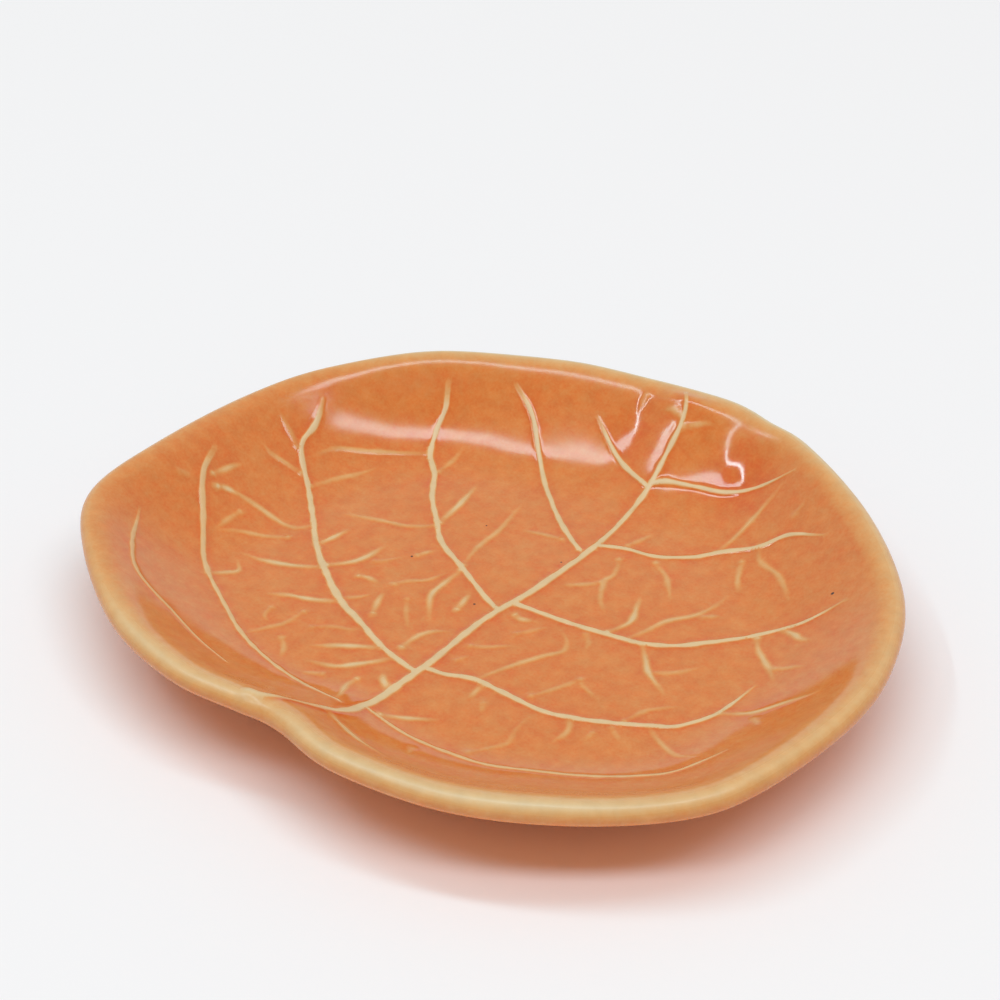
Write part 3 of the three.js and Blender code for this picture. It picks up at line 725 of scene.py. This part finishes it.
grain_group = fired_grain()
glaze_material, tree, shader = new_material("orange_glaze")
glaze = carried_value(tree, "glaze")
coat = glaze
for scale, strength in GLAZE_GRAIN:
    coat = new_maths(tree, "MULTIPLY", coat, place_group(tree, grain_group, Scale=scale, Strength=strength))
ground = new_mix(tree, "RGBA", carried_value(tree, "slip"), CLAY_COLOUR, SLIP_COLOUR)
clay_scale, clay_strength = CLAY_GRAIN
clay = tree.nodes.new("ShaderNodeVectorMath")
clay.operation = "SCALE"
put_on(tree, clay.inputs["Vector"], ground)
put_on(tree, clay.inputs["Scale"], place_group(tree, grain_group, Scale=clay_scale, Strength=clay_strength))
shown = place_group(
    tree, glaze_over_clay(), Clay=clay.outputs["Vector"], Tint=GLAZE_TINT, Thickness=coat
)
place = tree.nodes.new("ShaderNodeTexCoord").outputs["Object"]
parts = new_node(tree, "ShaderNodeSeparateXYZ", Vector=place).outputs
level_place = new_node(tree, "ShaderNodeCombineXYZ", X=parts["X"], Y=parts["Y"]).outputs["Vector"]
for across, along, half in PINHOLES:
    middle = (across * MILLIMETRE, along * MILLIMETRE, 0)
    away = new_maths(tree, "DISTANCE", level_place, middle, "ShaderNodeVectorMath")
    burnt = new_ramp(tree, away, (half * MILLIMETRE, PINHOLE_HALO * half * MILLIMETRE), (1, 0))
    shown = new_mix(tree, "RGBA", burnt, shown, PINHOLE_COLOUR)
put_on(tree, shader["Base Color"], shown)
put_on(tree, shader["Roughness"], new_ramp(tree, glaze, GLAZE_SPAN, GLAZE_ROUGHNESS))
shader["IOR"].default_value = GLAZE_IOR
leaf.data.materials.append(glaze_material)
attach(leaf, "root")
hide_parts("leaf_body", "inner_glaze", "outer_glaze", "base_glaze")

# Foot ring
# A low ring of the same clay, stuck under the flat of the leaf with slip. Its glaze was wiped off before
# firing, so that it wouldn't stick to the kiln shelf, and its lower edges were rubbed round.
FOOT_WIDTH = 5
FOOT_ROUND = 1
FOOT_SLIP = 1.2
FOOT_ROUND_STEPS = 5

foot_low, foot_high = (np.array(corner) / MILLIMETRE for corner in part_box("foot_ring"))
foot_across, foot_along = (foot_high - foot_low)[:2] / 2
foot_reaches = foot_across * foot_along / np.hypot(*(spoke_ways * (foot_along, foot_across)).T)
quarter = np.linspace(0, math.pi / 2, FOOT_ROUND_STEPS)

# Section from the top outside, down round the two lower edges and up to the top inside: inset and height
slip_foot = underside - FOOT_SLIP
foot_section = [(FOOT_SLIP * (math.sin(a) - 1), slip_foot + FOOT_SLIP * math.cos(a)) for a in quarter]
foot_section += [(FOOT_ROUND * (1 - math.sin(a)), FOOT_ROUND * (1 - math.cos(a))) for a in quarter[::-1]]
foot_section += [(FOOT_WIDTH - inset, height) for inset, height in foot_section[::-1]]
foot_corners = []
for inset, height in foot_section:
    flat = spoke_ways * (foot_reaches - inset)[:, None]
    foot_corners.append(np.column_stack([flat, np.full(SPOKES, height)]))
foot_corners = np.vstack(foot_corners) * MILLIMETRE
foot_loops = np.arange(len(foot_corners)).reshape(-1, SPOKES).tolist()
foot = add_mesh("bare_foot", foot_corners.tolist(), strips_between([*foot_loops, foot_loops[0]]))

# Bare clay is darker and rougher where its grain is low
BARE_CLAY_COLOUR = (0.62, 0.45, 0.28, 1)
BARE_CLAY_SHADE = (0.44, 0.28, 0.16, 1)
BARE_CLAY_SPAN = (0.7, 1.15)
BARE_ROUGH_SPAN = (0.7, 1.2)
BARE_ROUGHNESS = (0.85, 0.65)
PIT_DEPTH = 0.00008

clay_material, tree, shader = new_material("bare_clay")
broad = place_group(tree, grain_group, Scale=220, Strength=0.9)
fine = place_group(tree, grain_group, Scale=2600, Strength=0.8)
mottle = new_maths(tree, "MULTIPLY", broad, fine)
tone = new_ramp(tree, mottle, BARE_CLAY_SPAN, (0, 1))
put_on(tree, shader["Base Color"], new_mix(tree, "RGBA", tone, BARE_CLAY_SHADE, BARE_CLAY_COLOUR))
put_on(tree, shader["Roughness"], new_ramp(tree, mottle, BARE_ROUGH_SPAN, BARE_ROUGHNESS))
pits = new_node(tree, "ShaderNodeBump", Height=fine, Distance=PIT_DEPTH)
put_on(tree, shader["Normal"], pits.outputs["Normal"])
foot.data.materials.append(clay_material)
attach(foot, "root")
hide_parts("foot_ring")

# Floor
# A plain pale sheet that the plate stands on, painted matt, so that it takes the plate's shadow and mirrors
# nothing. It runs on past the picture on all sides.
FLOOR_HALF = 3.0
FLOOR_COLOUR = (0.875, 0.883, 0.9, 1)
FLOOR_ROUGHNESS = 0.9

floor_corners = [(x * FLOOR_HALF, y * FLOOR_HALF, 0) for x, y in ((-1, -1), (1, -1), (1, 1), (-1, 1))]
floor = add_mesh("floor", floor_corners, [(0, 1, 2, 3)])
floor_material, tree, shader = new_material("pale_floor")
shader["Base Color"].default_value = FLOOR_COLOUR
shader["Roughness"].default_value = FLOOR_ROUGHNESS
shader["Specular IOR Level"].default_value = 0
floor.data.materials.append(floor_material)

# Room
# A bright studio with white walls, which lights the plate softly from all sides, warmer from before it than
# from round it. The glaze mirrors a white wall behind the plate and a dimmer room before it.
ROOM_LIGHT = 0.36
ROOM_COLOUR = (1.33, 1.06, 1, 1)
ROOM_BEFORE = (1.55, 0.85, 0.44, 1)
MIRRORED_COLOUR = (1, 1, 1, 1)
WALL_WAY = (-0.621, 0.784, 0)
WALL_SPAN = (-0.2, 0.5)
BEFORE_SPAN = (0.1, -0.7)
WALL_SEEN = 0.9
OPEN_SEEN = 0.5
SEEN_WHITE = 0.88

world = bpy.data.worlds.new("studio")
world.use_nodes = True
bpy.context.scene.world = world
tree = world.node_tree
way = tree.nodes.new("ShaderNodeTexCoord").outputs["Generated"]
facing = new_maths(tree, "DOT_PRODUCT", way, WALL_WAY, "ShaderNodeVectorMath")
path = tree.nodes.new("ShaderNodeLightPath").outputs
walls = new_ramp(tree, facing, WALL_SPAN, (OPEN_SEEN, WALL_SEEN))
strength = new_mix(tree, "FLOAT", path["Is Glossy Ray"], ROOM_LIGHT, walls)
straight_on = new_maths(tree, "MAXIMUM", path["Is Camera Ray"], path["Is Transmission Ray"])
strength = new_mix(tree, "FLOAT", straight_on, strength, SEEN_WHITE)
before = new_ramp(tree, facing, BEFORE_SPAN, (0, 1))
room_colour = new_mix(tree, "RGBA", before, ROOM_COLOUR, ROOM_BEFORE)
room_colour = new_mix(tree, "RGBA", path["Is Diffuse Ray"], MIRRORED_COLOUR, room_colour)
background = tree.nodes["Background"].inputs
put_on(tree, background["Strength"], strength)
put_on(tree, background["Color"], room_colour)

# Lamps
# A diffused lamp bar hangs level above the plate, with a narrower one across each of its ends. A wide soft
# key lamp before them, at the same height, is kept out of the glaze.

# Middle to the camera's right and behind, size, turn from the camera's right in degrees, and radiance
LAMP_HEIGHT = 4.0
CAMERA_TURN = math.radians(38.4)
LAMPS = {
    "bar": ((-0.24, 0.6), (4.4, 0.5), -16.4, 7.5),
    "left_bar": ((-2.4, -0.4), (0.14, 3.2), 0, 20),
    "right_bar": ((2.15, -0.72), (0.12, 1.6), 0, 6),
    "key": ((0.5, -1.6), (4.8, 1.0), 0, 5.3),
}
BAR_COLOUR = (0.65, 1, 1.1)
KEY_COLOUR = (0.96, 1, 1.05)

for name, (centre, size, turn, radiance) in LAMPS.items():
    lamp_data = bpy.data.lights.new(name, "AREA")
    lamp_data.shape = "RECTANGLE"
    lamp_data.size, lamp_data.size_y = size
    lamp_data.energy = radiance * math.pi * size[0] * size[1]
    lamp_data.color = KEY_COLOUR if name == "key" else BAR_COLOUR
    lamp = bpy.data.objects.new(name, lamp_data)
    lamp.location = Matrix.Rotation(CAMERA_TURN, 3, "Z") @ Vector((*centre, LAMP_HEIGHT))
    lamp.rotation_euler = (0, 0, CAMERA_TURN + math.radians(turn))
    lamp.visible_glossy = name != "key"
    bpy.context.collection.objects.link(lamp)

bpy.context.scene.view_settings.view_transform = "Standard"
